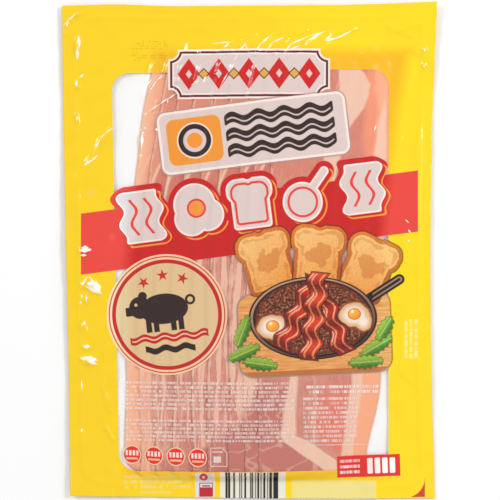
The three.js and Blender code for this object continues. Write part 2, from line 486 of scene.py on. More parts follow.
def front_film(tiles):
    """The printed film, drawn down over the meat, with its cut rim meeting the back film."""
    x, y = film_grid(*FRONT_STEPS)
    rows, across = x.shape
    back = back_height(x, y)
    held = film_height(x, y)
    loose = 1.0 - 0.8 * clamp(held / RASHER_THICKNESS)
    pleats = sum(fold(*ends, PLEAT_HEIGHT, PLEAT_HALF_WIDTH, x, y) for ends in PLEATS)
    creases = CREASE_STEEPNESS * sum(fold(*crease, x, y) for crease in CREASES)
    front = back + FILM_GAP + held + pleats + creases + loose * crinkle(x, y)
    points = np.stack([x, y, front], -1).reshape(-1, 3)
    faces = grid_faces(rows, across)
    centre = points[faces].mean(1)
    which = np.zeros(len(faces), dtype=int)
    for number, ((left, bottom, right, top), _) in enumerate(tiles):
        inside = (centre[:, 0] >= left) & (centre[:, 0] < right)
        inside &= (centre[:, 1] >= bottom) & (centre[:, 1] < top)
        which[inside] = number
    # The rim: down to the back film all round
    around = np.concatenate([
        np.arange(across), np.arange(2, rows + 1) * across - 1,
        (rows - 1) * across + np.arange(across - 2, -1, -1), np.arange(rows - 2, 0, -1) * across,
    ]).astype(int)
    foot = points[around].copy()
    foot[:, 2] = back.reshape(-1)[around]
    first = len(points)
    here = np.arange(len(around))
    there = (here + 1) % len(around)
    wall = np.stack([first + here, first + there, around[there], around[here]], -1)
    points = np.concatenate([points, foot])
    faces = np.concatenate([faces, wall])
    which = np.concatenate([which, np.full(len(wall), len(tiles) - 1)])
    return make_mesh("printed_front_film", points, faces, [m for _, m in tiles], which)


def back_film(material):
    x, y = film_grid(*BACK_STEPS)
    rows, across = x.shape
    points = np.stack([x, y, back_height(x, y)], -1).reshape(-1, 3)
    return make_mesh("clear_back_film", points, grid_faces(rows, across)[:, ::-1], [material])


# The rashers

RASHER_COLUMNS = 28
RASHER_ROWS = 120
SHARP_EDGE = 0.3  # how much of its thickness a rasher keeps at its very edge
RASHER_SEED = 3.0


class RasherMaker(Maker):
    """Adds the nodes that shape the rashers, whose sizes are the tree's inputs."""

    def __init__(self, tree, names):
        super().__init__(tree)
        given = self.node("NodeGroupInput").outputs
        self.size = {name: Value(self, given[name]) for name in names}

    def place(self):
        position = self.node("GeometryNodeInputPosition").outputs[0]
        split = self.node("ShaderNodeSeparateXYZ", None, {0: position})
        return [Value(self, socket) for socket in split.outputs]

    def shift_of(self, k):
        """How far a rasher is shifted to the right."""
        switch = self.node("GeometryNodeIndexSwitch", {"data_type": "FLOAT"})
        while len(switch.index_switch_items) < RASHER_COUNT:
            switch.index_switch_items.new()
        for number, shift in enumerate(RASHER_SHIFTS):
            switch.inputs[number + 1].default_value = shift
        self.tree.links.new(k.socket, switch.inputs[0])
        return Value(self, switch.outputs[0])

    def sides(self, k, y):
        """A rasher's shift, and its left and right edges."""
        shift = self.shift_of(k)
        return shift, rasher_left(k, shift, y), rasher_right(k, shift, y, self.size["Width"])

    def keep(self, geometry, name, value):
        """Stores a number at each point."""
        stored = self.node(
            "GeometryNodeStoreNamedAttribute", {"data_type": "FLOAT", "domain": "POINT"},
            {"Geometry": geometry, "Name": name, "Value": value},
        )
        return stored.outputs[0]

    def kept(self, name):
        read = self.node("GeometryNodeInputNamedAttribute", {"data_type": "FLOAT"}, {"Name": name})
        return Value(self, read.outputs[0])

    def moved(self, geometry, **how):
        return self.node("GeometryNodeSetPosition", None, {"Geometry": geometry, **how}).outputs[0]


def numbered_slabs(m):
    """A blank slab for every rasher, in a unit box, with the rasher's number kept."""
    line = m.node("GeometryNodeMeshLine", None, {"Count": m.size["Rashers"], "Offset": (0.0, 0.0, 0.0)})
    numbered = m.keep(line.outputs[0], "slice", Value(m, m.node("GeometryNodeInputIndex").outputs[0]))
    blank = m.node(
        "GeometryNodeMeshCube", None,
        {"Size": (1.0, 1.0, 1.0), "Vertices X": RASHER_COLUMNS, "Vertices Y": RASHER_ROWS, "Vertices Z": 2},
    )
    blanks = m.node("GeometryNodeInstanceOnPoints", None, {"Points": numbered, "Instance": blank.outputs[0]})
    return m.node("GeometryNodeRealizeInstances", None, {"Geometry": blanks.outputs[0]}).outputs[0]


def outlined(m, slabs):
    """Each slab with its rasher's outline, and more points near its edges than in its middle."""
    k = m.kept("slice")
    u, v, w = m.place()
    slabs = m.keep(slabs, "upper", m.maths("GREATER_THAN", w, 0.0))
    y = bottom_end(k) + (top_end(k) - bottom_end(k)) * (0.5 + v * 1.12 - 0.48 * v * v * v)
    _, left, right = m.sides(k, y)
    x = left + (right - left) * (0.5 + 0.5 * sine(u * math.pi))
    return m.moved(slabs, Position=m.vector(x, y))


def draped(m, slabs):
    """Each rasher raised by every rasher under it."""
    into = m.node("GeometryNodeRepeatInput")
    out = m.node("GeometryNodeRepeatOutput")
    into.pair_with_output(out)
    m.tree.links.new((m.size["Rashers"] - 1).socket, into.inputs["Iterations"])
    m.tree.links.new(slabs, into.inputs["Geometry"])
    below = Value(m, into.outputs["Iteration"])
    x, y, _ = m.place()
    is_below = m.maths("LESS_THAN", below + 0.5, m.kept("slice"))
    rise = m.size["Thickness"] * is_below * drape(below, m.shift_of(below), 0.0, x, y, m.size["Width"])
    raised = m.moved(into.outputs["Geometry"], Offset=m.vector(0.0, 0.0, rise))
    m.tree.links.new(raised, out.inputs["Geometry"])
    return out.outputs["Geometry"]


def thickened(m, slabs):
    """Each rasher with its own thickness, and rounded, slightly uneven edges."""
    x, y, _ = m.place()
    k = m.kept("slice")
    shift, left, right = m.sides(k, y)
    slabs = m.keep(slabs, "across", x - ROW_LEFT - shift - row_lean(y))
    inward = low(low(x - left, right - x), low(top_end(k) - y, y - bottom_end(k)))
    rounding = SHARP_EDGE + (1.0 - SHARP_EDGE) * smooth(inward / m.size["Edge rounding"])
    uneven = m.noise(m.vector(x * 0.16, y * 0.05, k * 5.0 + m.size["Seed"]), 1.0, 3.0) - 0.72
    last = m.maths("GREATER_THAN", k, LAST - 0.5)
    full = m.size["Thickness"] * drape(k, shift, last, x, y, m.size["Width"])
    body = rounding * full + m.size["Surface unevenness"] * uneven * smooth(inward / 2.0)
    rise = m.size["Lift off the back film"] + m.kept("upper") * body
    return m.moved(slabs, Offset=m.vector(0.0, 0.0, rise))


def rasher_tree(material):
    """Geometry Nodes that shingle rashers from left to right, each draped over those under it."""
    tree = bpy.data.node_groups.new("shingled rashers", "GeometryNodeTree")
    sizes = {
        "Rashers": ("NodeSocketInt", RASHER_COUNT), "Thickness": ("NodeSocketFloat", RASHER_THICKNESS),
        "Width": ("NodeSocketFloat", RASHER_WIDTH), "Edge rounding": ("NodeSocketFloat", 0.9),
        "Lift off the back film": ("NodeSocketFloat", FILM_GAP / 2),
        "Surface unevenness": ("NodeSocketFloat", 0.16), "Seed": ("NodeSocketFloat", RASHER_SEED),
    }
    for name, (kind, size) in sizes.items():
        tree.interface.new_socket(name, in_out="INPUT", socket_type=kind).default_value = size
    tree.interface.new_socket("Geometry", in_out="OUTPUT", socket_type="NodeSocketGeometry")
    m = RasherMaker(tree, sizes)
    slabs = thickened(m, draped(m, outlined(m, numbered_slabs(m))))
    scaled = m.node("GeometryNodeTransform", None, {"Geometry": slabs, "Scale": (MM, MM, MM)})
    shaded = m.node("GeometryNodeSetShadeSmooth", None, {"Geometry": scaled.outputs[0]})
    real = m.node("GeometryNodeRealizeInstances", None, {"Geometry": shaded.outputs[0]})
    dressed = m.node(
        "GeometryNodeSetMaterial", None, {"Geometry": real.outputs[0], "Material": material}
    )
    tree.links.new(dressed.outputs[0], m.node("NodeGroupOutput").inputs[0])
    return tree


def rashers(material):
    holder = add_object("rasher_maker", bpy.data.meshes.new("rasher_maker"))
    modifier = holder.modifiers.new("shingled rashers", "NODES")
    modifier.node_group = rasher_tree(material)
    chosen = {
        "Rashers": RASHER_COUNT, "Thickness": RASHER_THICKNESS, "Width": RASHER_WIDTH, "Seed": RASHER_SEED,
    }
    for socket in modifier.node_group.interface.items_tree:
        if socket.in_out == "INPUT" and socket.name in chosen:
            modifier[socket.identifier] = chosen[socket.name]
    evaluated = holder.evaluated_get(bpy.context.evaluated_depsgraph_get())
    mesh = bpy.data.meshes.new_from_object(evaluated)
    mesh.name = "rashers"
    holder.modifiers.clear()
    bpy.data.objects.remove(holder)
    return add_object("rashers", mesh)


# Colours

def ink(red, green, blue):
    """A colour from the 0 to 255 values a screen shows."""
    shares = [c / 255.0 for c in (red, green, blue)]
    return tuple(s / 12.92 if s <= 0.04045 else ((s + 0.055) / 1.055) ** 2.4 for s in shares)


YELLOW = ink(250, 209, 0)
# The same yellow painted lighter, as painted light falling from the right
YELLOW_PAINTED_LIT_RIGHT = ink(253, 218, 0)
RED = ink(234, 66, 56)
RED_ON_MEAT = ink(206, 14, 10)
DEEP_RED = ink(200, 24, 28)
DARK_BROWN = ink(44, 22, 18)
MAROON = ink(98, 12, 20)
OFF_WHITE = ink(227, 222, 222)
WHITE = ink(255, 253, 250)
PRINT_WHITE = ink(255, 255, 255)
CREAM = ink(228, 209, 160)
PALE_CREAM = ink(252, 224, 184)
ORANGE = ink(255, 165, 60)
LABEL_ORANGE = ink(247, 165, 48)
GOLD = ink(232, 184, 84)
STAR_RED = ink(206, 34, 38)
EMBLEM_RED = ink(212, 14, 6)
DISC_RED = ink(236, 44, 24)
PALE_YELLOW = ink(238, 222, 134)
BLACK = ink(26, 24, 24)
YELLOW_ON_MEAT = ink(250, 204, 0)
OVER_MEAT = (0.945, 0.795, 0.745)  # how much of the light the inks still give back over meat

EDGE_SHARPNESS = 3.2  # an ink edge fades over a third of a millimetre

# Where the meat tints the print: the row's sides before it leans, its ends, and how softly it stops
TINT_SIDES = (-64.5, 67.0)
TINT_ENDS = (-117.5, 104.0)
TINT_FADE = 10.0


class Artwork:
    """The print on one part of the front film: a colour and how much of the film is covered."""

    def __init__(self, maker, x, y):
        self.m = maker
        self.x = x
        self.y = y
        self.paint = WHITE
        self.cover = 0.0
        # How far outside the row of rashers a place lies
        lean = row_lean(y)
        off_side = high(TINT_SIDES[0] + lean - x, x - TINT_SIDES[1] - lean)
        off_meat = high(off_side, high(y - TINT_ENDS[1], TINT_ENDS[0] - y))
        self.over_meat = smooth(0.5 - off_meat / TINT_FADE)

    def mask(self, distance, strength=1.0):
        """1 inside a shape, 0 outside it, from the distance to its edge."""
        inside = self.m.maths("MULTIPLY_ADD", distance, -EDGE_SHARPNESS, 0.5, clamped=True)
        return inside if strength == 1.0 else inside * strength

    def lay(self, colour, mask):
        """Prints a colour over what is there."""
        self.paint = self.m.mix(mask, self.paint, colour)
        self.cover = high(self.cover, mask)

    def fill(self, colour, distance, strength=1.0):
        self.lay(colour, self.mask(distance, strength))

    def layers(self, distance, *layers):
        """Prints one shape again and again, each time from so far inside its edge and in its colour."""
        for inset, colour in layers:
            self.fill(colour, distance + inset if inset else distance)

    def lozenge(self, x0, y0, x1, y1, half_width):
        """Distance, near enough, to a lozenge that reaches from one point to another."""
        long = math.hypot(x1 - x0, y1 - y0) / 2
        c, s = (x1 - x0) / 2 / long, (y1 - y0) / 2 / long
        cx, cy = (x0 + x1) / 2, (y0 + y1) / 2
        maths = self.m.maths
        along = maths("MULTIPLY_ADD", self.x, c, maths("MULTIPLY_ADD", self.y, s, -cx * c - cy * s))
        away = maths("MULTIPLY_ADD", self.y, c, maths("MULTIPLY_ADD", self.x, -s, cx * s - cy * c))
        return maths("MULTIPLY_ADD", abs(along), half_width / long, abs(away)) - half_width

    def turned(self, x, y, degrees):
        """Coordinates about a point, turned so that a tilted shape lies straight."""
        c, s = math.cos(math.radians(degrees)), math.sin(math.radians(degrees))
        dx, dy = self.x - x, self.y - y
        return dx * c + dy * s, dy * c - dx * s


def block(u, v, half_width, half_height, corner=0.0):
    """Distance to a rectangle about the middle."""
    a, b = abs(u) - (half_width - corner), abs(v) - (half_height - corner)
    if corner == 0.0:
        return high(a, b)
    return rounded(a, b, corner)


def disc(u, v, radius, cu=0.0, cv=0.0):
    return length(u - cu, v - cv) - radius


def bar(u, v, u0, v0, u1, v1, radius):
    """Distance to a round-ended bar between two points."""
    du, dv = u1 - u0, v1 - v0
    along = clamp(((u - u0) * du + (v - v0) * dv) / (du * du + dv * dv))
    return length(u - u0 - along * du, v - v0 - along * dv) - radius


STRIP_CORNER = 2.5
STRIP_SWING = 1.6
STRIP_WAVE = 14.0


def waved(u, v):
    """u beside a line that waves up the small rasher shapes."""
    return u - STRIP_SWING * sine(v * (2 * math.pi / STRIP_WAVE))


def wavy_strip(u, v, half_width, half_height):
    """Distance to an upright strip that waves from side to side."""
    return block(waved(u, v), v, half_width, half_height, STRIP_CORNER)


WINDOW_CORNER = 9.0
WINDOW_LEFT, WINDOW_RIGHT = -70.0, 72.4
WINDOW_BOTTOM, WINDOW_TOP = -114.4, 93.1
LEFT_SLOPE, BOTTOM_SLOPE, TOP_SLOPE = 0.0175, 0.0055, 0.0128  # how far off straight its sides run


def flat_field(art):
    """The yellow that covers the whole pack except a clear window."""
    x, y = art.x, art.y
    across = high(WINDOW_LEFT - LEFT_SLOPE * y - x, x - WINDOW_RIGHT) + WINDOW_CORNER
    below = WINDOW_BOTTOM + BOTTOM_SLOPE * x - y
    along = high(y - WINDOW_TOP - TOP_SLOPE * x, below) + WINDOW_CORNER
    window = rounded(across, along, WINDOW_CORNER)
    # Painted light: the yellow grows lighter towards the right, as if lit more from that side
    tone = art.m.mix(smooth((x + 60.0) / 140.0), YELLOW, YELLOW_PAINTED_LIT_RIGHT)
    art.fill(art.m.mix(art.over_meat, tone, YELLOW_ON_MEAT), -window)


TICKET_HALF = (41.0, 12.0)
TICKET_NOTCH = 5.0
LOZENGE_GAP = 7.8  # half the way from one lozenge to the next


def emblem(art):
    """A plain ticket shape with a row of red lozenges and small gold ones between them."""
    x, y = art.x + 0.3, art.y - 91.5
    a, b = abs(x), abs(y)
    past_side, past_top = a - TICKET_HALF[0], b - TICKET_HALF[1]
    ticket = high(high(past_side, past_top), TICKET_NOTCH - length(past_side, past_top))
    art.layers(ticket, (-1.0, WHITE), (0.0, MAROON), (1.2, WHITE), (2.0, OFF_WHITE))
    step = art.m.maths("WRAP", x, LOZENGE_GAP, -LOZENGE_GAP)
    lozenge = high(abs(step) * 0.8 + b * 0.58 - 4.7, a - 39.0)
    art.layers(lozenge, (0.0, EMBLEM_RED), (3.4, OFF_WHITE))
    step = art.m.maths("WRAP", x + LOZENGE_GAP, LOZENGE_GAP, -LOZENGE_GAP)
    small = high(abs(step) * 0.8 + b * 0.8 - 1.9, a - 33.0)
    art.layers(small, (-0.6, MAROON), (0.0, GOLD))


def label(art):
    """A tilted white label: an orange field with a ringed disc, then three long dark wavy strips."""
    u, v = art.turned(2.0, 60.8, 7.0)
    card = block(u, v, 48.5, 15.6, 4.0)
    art.fill(ink(150, 30, 40), card - 1.5, 0.55)
    art.layers(card, (-0.7, WHITE), (0.6, OFF_WHITE))
    art.fill(LABEL_ORANGE, block(u + 30.6, v, 14.2, 12.0, 4.0))
    ring = disc(u, v, 8.6, -30.6)
    art.layers(ring, (-0.7, WHITE), (0.0, DARK_BROWN), (2.6, OFF_WHITE), (4.6, LABEL_ORANGE))
    bent = v - 1.3 * sine(u * (2 * math.pi / 13.5))
    row = art.m.maths("WRAP", bent, 4.1, -4.1)
    strips = high(block(row, u - 14.2, 2.8, 28.4, 1.2), abs(bent) - 11.6)
    art.fill(DARK_BROWN, strips)
    art.fill(OFF_WHITE, high(abs(row + 0.4) - 0.4, strips + 1.4), 0.9)


BANNER_TILT = 7.3
BANNER_BOTTOM, BANNER_TOP = -1.4, 30.2
BANNER_REACH = 87.6  # to each side
RED_MARGIN = 2.9  # of the red round a shape that stands out of the banner
ICON_PLACES = (-53.5, -24.1, 3.7, 31.9, 62.4)
ICON_HEIGHT = 24.6


def rasher_icon(u, v):
    return wavy_strip(u, v, 10.6, 13.6)


def egg_icon(u, v):
    return low(low(disc(u, v, 11.0, -1.2, 2.6), disc(u, v, 8.6, 5.0, -3.4)), disc(u, v, 9.0, -3.6, -4.6))


def toast_icon(u, v):
    crown = block(u, v - 6.4, 12.0, 6.4, 5.6)
    return high(low(block(u, v + 2.6, 10.0, 11.0, 2.0), crown), 3.0 - length(u, v - 15.0))


def pan_icon(u, v):
    return low(disc(u, v, 10.4, -1.4, -3.2), bar(u, v, 5.0, 4.0, 11.6, 11.4, 2.4))


def small_rasher_icon(u, v):
    return wavy_strip(-u, v, 10.2, 13.2)


ICONS = (rasher_icon, egg_icon, toast_icon, pan_icon, small_rasher_icon)
DROP_LINE = (1.9, -1.7)  # how far the orange line lies from its shape


def banner(art, first, past):
    """A red banner across the pack with white kitchen shapes standing on it, first to past."""
    u, v = art.turned(0.0, 0.0, BANNER_TILT)
    band = high(high(v - BANNER_TOP, BANNER_BOTTOM - v), abs(art.x) - BANNER_REACH)
    shapes, shadows = None, None
    for number in range(first, past):
        icon, place = ICONS[number], ICON_PLACES[number]
        shape = icon(u - place, v - ICON_HEIGHT)
        shadow = icon(u - place - DROP_LINE[0], v - ICON_HEIGHT - DROP_LINE[1])
        shapes = shape if shapes is None else low(shapes, shape)
        shadows = shadow if shadows is None else low(shadows, shadow)
    ground = low(band, shapes - RED_MARGIN)
    art.fill(art.m.mix(art.over_meat, RED, RED_ON_MEAT), ground)
    art.fill(ORANGE, high(abs(shadows) - 0.42, 0.7 - shapes))
    art.fill(DEEP_RED, abs(shapes - 0.25) - 0.3, 0.8)
    art.layers(shapes, (0.0, WHITE), (0.9, OFF_WHITE))
    return u, v - ICON_HEIGHT


def rasher_lines(art, u, v, half_height):
    """Two red lines down a rasher shape."""
    lines = abs(abs(waved(u, v)) - 3.9) - 0.8
    art.fill(RED, high(high(lines, abs(v) - half_height), abs(u) - 8.0))


def crust_line(art, u, v):
    crust = toast_icon((u - ICON_PLACES[2]) * 1.28, v * 1.28)
    art.fill(RED, abs(crust) - 0.75)


def banner_left(art):
    u, v = banner(art, 0, 3)
    rasher_lines(art, u - ICON_PLACES[0], v, 9.5)
    yolk = disc(u - ICON_PLACES[1], v, 4.4, -0.4, 0.6)
    art.fill(RED, abs(yolk) - 0.6)
    art.fill(ORANGE, yolk + 0.6)
    crust_line(art, u, v)


def banner_right(art):
    u, v = banner(art, 2, 5)
    crust_line(art, u, v)
    art.fill(RED, abs(disc(u - ICON_PLACES[3], v, 7.4, -1.4, -3.2)) - 0.6)
    rasher_lines(art, -(u - ICON_PLACES[4]), v, 9.0)


STAR_ACROSS = 0.951  # how a star's straight edges run in each of its ten wedges
STAR_ALONG = 0.309


def star(art, u, v, radius):
    """Distance, near enough, to a five-pointed star."""
    angle = art.m.maths("ARCTAN2", u, v)
    step = abs(art.m.maths("WRAP", angle, math.pi / 5, -math.pi / 5))
    reach = length(u, v)
    across, along = reach * sine(step), reach * art.m.maths("COSINE", step)
    return across * STAR_ACROSS + along * STAR_ALONG - radius * STAR_ALONG


def badge(art):
    """A round cream badge: a pig on a wavy red strip, a dark strip under it and three stars above."""
    u, v = art.turned(-42.9, -33.3, 6.5)
    rim = disc(u, v, 31.4)
    art.layers(rim, (0.0, PALE_CREAM), (1.0, DEEP_RED), (1.6, PALE_CREAM), (2.7, DEEP_RED), (4.7, CREAM))
    # The pig, in profile
    a, b = (u + 1.2) / 1.16, (v - 3.2) / 1.16
    pig = length(a * 0.62, b) - 6.8
    pig = low(pig, disc(a, b, 5.0, -10.6, 1.6))
    pig = low(pig, block(a + 15.6, b - 0.2, 1.7, 2.0, 0.6))
    pig = low(pig, disc(a, b, 2.0, -9.0, 6.6))
    legs = abs(abs(a + 0.2) - 5.6) - 1.7
    pig = low(pig, block(legs, b + 6.6, 1.25, 3.4))
    pig = low(pig, abs(disc(a, b, 1.8, 12.2, 3.0)) - 0.55)
    art.fill(DARK_BROWN, pig)
    art.fill(CREAM, disc(a, b, 0.7, -12.4, 3.0))
    # The strips under it
    bend = v + 11.6 + 0.8 * sine(u * 0.6)
    art.fill(DEEP_RED, high(abs(bend) - 1.9, abs(u) - 20.5))
    art.fill(PALE_CREAM, high(abs(bend) - 0.35, abs(u) - 19.5))
    art.fill(DARK_BROWN, high(abs(bend + 6.0) - 1.6, abs(u) - 13.0))
    # The stars above it, on an arc
    angle = art.m.maths("ARCTAN2", u, v)
    turn = art.m.maths("WRAP", angle, 0.26, -0.26)
    reach = length(u, v)
    stars = star(art, reach * sine(turn), reach * art.m.maths("COSINE", turn) - 20.6, 3.3)
    art.fill(STAR_RED, high(stars, 20.0 * abs(angle) - 15.6))


def picture(art):
    """A breakfast table: toast behind an iron pan of rashers and eggs, on a board, with herbs."""
    m = art.m
    place = m.vector(art.x, art.y)
    blotch = m.noise(place, 0.16, 3.0) - 0.5
    speck = m.noise(place, 0.8, 3.0, 0.6)
    wooden_board(art)
    toast_slices(art, blotch, speck)
    iron_pan(art, blotch, speck)
    fried_eggs(art, blotch)
    crisp_rashers(art, blotch, speck)
    herb_leaves(art, speck)


def wooden_board(art):
    m = art.m
    u, v = art.turned(34.0, -43.0, 2.0)
    board = block(u, v, 39.5, 21.0, 7.0)
    grain = m.noise(m.vector(u * 0.1, v * 1.1), 1.0, 3.0)
    wood = m.mix(clamp(grain * 1.5 - 0.25), ink(206, 124, 48), ink(252, 206, 128))
    art.fill(ink(120, 62, 28), board - 0.8, 0.7)
    art.fill(wood, board)
    art.fill(ink(178, 98, 36), high(board, v + 18.6), 0.75)


def toast_slices(art, blotch, speck):
    m = art.m
    for cx, cy, tilt in ((62.0, -8.0, -24.0), (9.0, -5.0, 15.0), (35.5, -2.5, -4.0)):
        u, v = art.turned(cx, cy, tilt)
        edge = toast_icon(u * 0.82, v * 0.82) + blotch * 1.2
        shade = clamp(speck * 1.1 - 0.1 + v * 0.02 - u * 0.012)
        art.fill(ink(92, 38, 12), edge - 0.6, 0.8)
        art.fill(m.mix(shade, ink(172, 78, 16), ink(232, 142, 40)), edge)
        art.fill(m.mix(shade, ink(236, 158, 54), ink(255, 222, 146)), edge + 1.5)
        art.fill(ink(206, 118, 34), disc(u, v, 6.0, 1.0, 0.0) + blotch * 16.0, 0.55)
        art.fill(ink(190, 100, 26), abs(edge + 3.0) - 0.5 + blotch * 5.0, 0.35)


def iron_pan(art, blotch, speck):
    m = art.m
    u, v = art.x - 33.0, art.y + 35.0
    pan = (length(u / 33.5, v / 21.5) - 1.0) * 25.0
    handle = bar(u, v, 28.0, 9.0, 45.0, 20.0, 2.7)
    art.fill(ink(26, 12, 8), low(pan, handle))
    sheen = clamp(0.5 + (v - u * 0.3) * 0.03)
    rim = low(abs(pan + 1.2) - 0.45, high(abs(handle + 1.6) - 0.4, 31.0 - u))
    art.fill(m.mix(sheen, ink(84, 50, 36), ink(206, 160, 128)), rim, 0.9)
    glaze = clamp((speck - 0.5) * 2.6 + 0.45 + blotch)
    art.fill(m.mix(glaze, ink(34, 10, 4), ink(150, 70, 34)), pan + 2.6)
    art.fill(ink(244, 178, 120), high(pan + 4.0, 0.66 - speck), 0.8)


def fried_eggs(art, blotch):
    m = art.m
    for cx, cy in ((12.0, -39.5), (54.5, -33.5)):
        a, b = art.x - cx, art.y - cy
        white = low(length(a * 0.8, b) - 6.4, disc(a, b, 4.6, 4.6, -3.6)) + blotch * 2.6
        art.fill(ink(150, 78, 30), white - 0.7)
        art.fill(m.mix(clamp(white * 0.35 + 1.1), ink(252, 247, 234), ink(222, 184, 130)), white)
        yolk = length(a, (b - 0.5) * 1.15) - 3.5
        art.fill(ink(222, 120, 12), yolk)
        art.fill(m.mix(clamp(0.5 + (a - b) * 0.12), ink(255, 206, 72), ink(246, 150, 20)), yolk + 0.6)
        art.fill(ink(255, 250, 230), disc(a, b, 0.9, -1.1, 1.8))


def crisp_rashers(art, blotch, speck):
    """Rashers across the pan: wavy, with streaks of fat."""
    m = art.m
    for cx, cy, tilt, half, tone in (
        (25.0, -32.5, 64.0, 20.0, ink(206, 46, 22)), (42.5, -36.0, 112.0, 18.5, ink(186, 38, 18)),
        (33.5, -34.0, 84.0, 22.5, ink(222, 70, 30)),
    ):
        u, v = art.turned(cx, cy, tilt)
        sway = v + 1.5 * sine(u * 0.5 + cx) + blotch * 1.2
        strip = high(abs(sway) - 4.4, abs(u) - half)
        lit = clamp(0.5 + 0.5 * sine(u * 0.5 + cx + 1.2) + (speck - 0.5) * 1.2)
        art.fill(ink(52, 8, 4), strip - 0.7, 0.85)
        art.fill(m.mix(lit, ink(112, 16, 8), tone), strip)
        marbling = high(abs(abs(sway + speck) - 2.2) - 0.5, strip + 0.5)
        art.fill(m.mix(lit, ink(206, 110, 62), ink(255, 190, 132)), marbling, 0.9)
        art.fill(ink(255, 236, 214), high(abs(sway - 3.2) - 0.35, high(strip + 0.5, 0.62 - lit)), 0.75)


def herb_leaves(art, speck):
    m = art.m
    for cx, cy, tilt, long in (
        (-3.5, -42.0, 70.0, 8.5), (-3.0, -53.0, 24.0, 9.0), (5.5, -58.5, -8.0, 9.0),
        (66.0, -50.0, 30.0, 9.5), (60.5, -58.0, 4.0, 9.0), (70.5, -40.5, 58.0, 7.0),
    ):
        u, v = art.turned(cx, cy, tilt)
        leaf = high(length(u * (4.8 / long), abs(v) + 2.4) - 5.6 + 0.4 * sine(u * 2.1), abs(u) - long)
        art.fill(ink(34, 70, 16), leaf - 0.4, 0.7)
        art.fill(m.mix(clamp(v * 0.24 + speck), ink(58, 122, 26), ink(150, 200, 70)), leaf)
        art.fill(ink(190, 220, 116), high(abs(v) - 0.25, leaf + 0.8), 0.8)


STROKE_PITCH = 0.44
ROW_SHARE = 0.3  # half of how much of its pitch a row of strokes fills


def small_print(art, colour, left, right, top, bottom, pitch, strength):
    """Rows of fine broken strokes where a pack has its small print."""
    m = art.m
    down = (top - art.y) / pitch
    row = m.maths("FLOOR", down)
    line = abs(down - row - 0.5) * pitch - ROW_SHARE * pitch
    stroke = m.chance(m.maths("FLOOR", art.x / STROKE_PITCH + row * 0.37), row)
    word = m.noise(m.vector(art.x * 0.42, row * 5.3), 1.0, 0.0)
    here = high(high(left - art.x, art.x - right), high(art.y - top, bottom - art.y))
    full = clamp(stroke * 1.3 + 0.12) * clamp((word - 0.3) * 10.0)
    art.lay(colour, art.mask(high(line, here)) * full * strength)


def lower_rows(art):
    """Two columns of small print, and a thin line under them."""
    for field in (
        (-64.2, 23.4, -67.6, -83.1, 2.21, 0.66), (-64.2, 23.4, -87.3, -99.4, 2.02, 0.64),
        (29.4, 67.0, -69.4, -74.6, 2.6, 0.85), (27.8, 56.0, -75.6, -99.9, 2.43, 0.68),
    ):
        small_print(art, PRINT_WHITE, *field)
    art.fill(WHITE, high(abs(art.y + 100.9) - 0.2, abs(art.x - 46.3) - 16.4), 0.7)


def four_discs(art):
    m, x, y = art.m, art.x, art.y
    across = m.maths("WRAP", x + 49.67, 5.72, -5.72)
    row = y + 106.2 + 0.03 * (x + 61.0)
    button = high(length(across, row) - 4.9, abs(x + 43.95) - 22.9)
    art.layers(button, (0.0, PALE_CREAM), (0.6, DISC_RED))
    patch = high(button + 1.0, high(abs(row - 0.9) - 1.3, abs(across) - 3.3))
    art.fill(WHITE, high(patch, 0.35 - abs(m.maths("WRAP", across, 0.95, -0.95))), 0.95)
    art.fill(PALE_CREAM, high(button + 1.0, high(abs(row + 2.0) - 0.5, abs(across) - 3.0)), 0.8)


def package_mark(art):
    u, v = art.x + 15.85, art.y + 106.8
    mark = high(block(u, v, 4.2, 4.7), (u + v - 6.6) * 0.71)
    lines = low(abs(mark) - 0.22, low(block(u + 0.6, v - 2.7, 2.8, 0.3), block(u + 0.8, v + 1.2, 2.0, 1.6)))
    art.fill(WHITE, lines, 0.75)


def weight_box(art):
    """A red box with plain bars and fine broken rows."""
    m = art.m
    u, v = art.turned(62.0, -112.1, 1.7)
    art.fill(ink(228, 42, 40), block(u, v, 16.5, 5.7))
    blocks = m.maths("WRAP", u - 4.65, 1.95, -1.95)
    art.fill(WHITE, high(block(blocks, v, 1.4, 4.0, 0.6), abs(u - 6.6) - 7.7))
    rows = m.maths("WRAP", v, 1.45, -1.45)
    dashes = m.chance(m.maths("FLOOR", u / 0.5), m.maths("FLOOR", v / 2.9 + 0.5))
    art.lay(WHITE, art.mask(high(block(rows, u + 9.8, 0.75, 5.2), abs(v) - 4.3)) * clamp(dashes + 0.2) * 0.8)


def bottom_rows(art):
    """Small print on the yellow strip at the bottom."""
    small_print(art, PALE_YELLOW, -65.3, -30.9, -116.4, -124.4, 2.7, 0.75)
    small_print(art, PALE_YELLOW, -57.0, -41.0, -124.8, -127.0, 2.2, 0.6)


def tag(art):
    u, v = art.x + 23.2, art.y + 121.8
    art.fill(OFF_WHITE, block(u, v, 5.1, 6.6, 1.0))
    art.fill(ink(200, 30, 44), abs(disc(u, v, 1.5, -0.6, 4.2)) - 0.75)
    box = block(u - 0.6, v + 2.8, 3.6, 3.6, 0.5)
    art.fill(ink(190, 30, 44), box)
    art.fill(OFF_WHITE, high(box + 0.5, -1.6 - v))
    art.fill(DARK_BROWN, block(u - 0.6, v + 0.9, 2.1, 0.4), 0.8)


def upright_bars(art):
    """Bars of chance widths on a white field."""
    m, x, y = art.m, art.x, art.y
    field = block(x - 1.7, y + 123.0, 17.0, 8.3)
    art.fill(ink(236, 232, 214), field)
    stripe = m.chance(m.maths("FLOOR", (x + 12.6) / 0.52), 7.0)
    bars = high(abs(x - 1.2) - 13.8, field)
    art.lay(BLACK, art.mask(bars) * clamp(stripe * 3.2 - 1.25))


def blank_field_and_corner(art):
    x, y = art.x, art.y
    art.fill(PALE_YELLOW, block(x - 44.0, y + 125.0, 21.9, 5.1))
    corner = high(high(x - 91.4, 84.5 - x), high(y + 118.6, -128.4 - y))
    art.fill(ink(206, 60, 56), high(corner, 10.0 - length(x - 81.3, y + 118.6)))


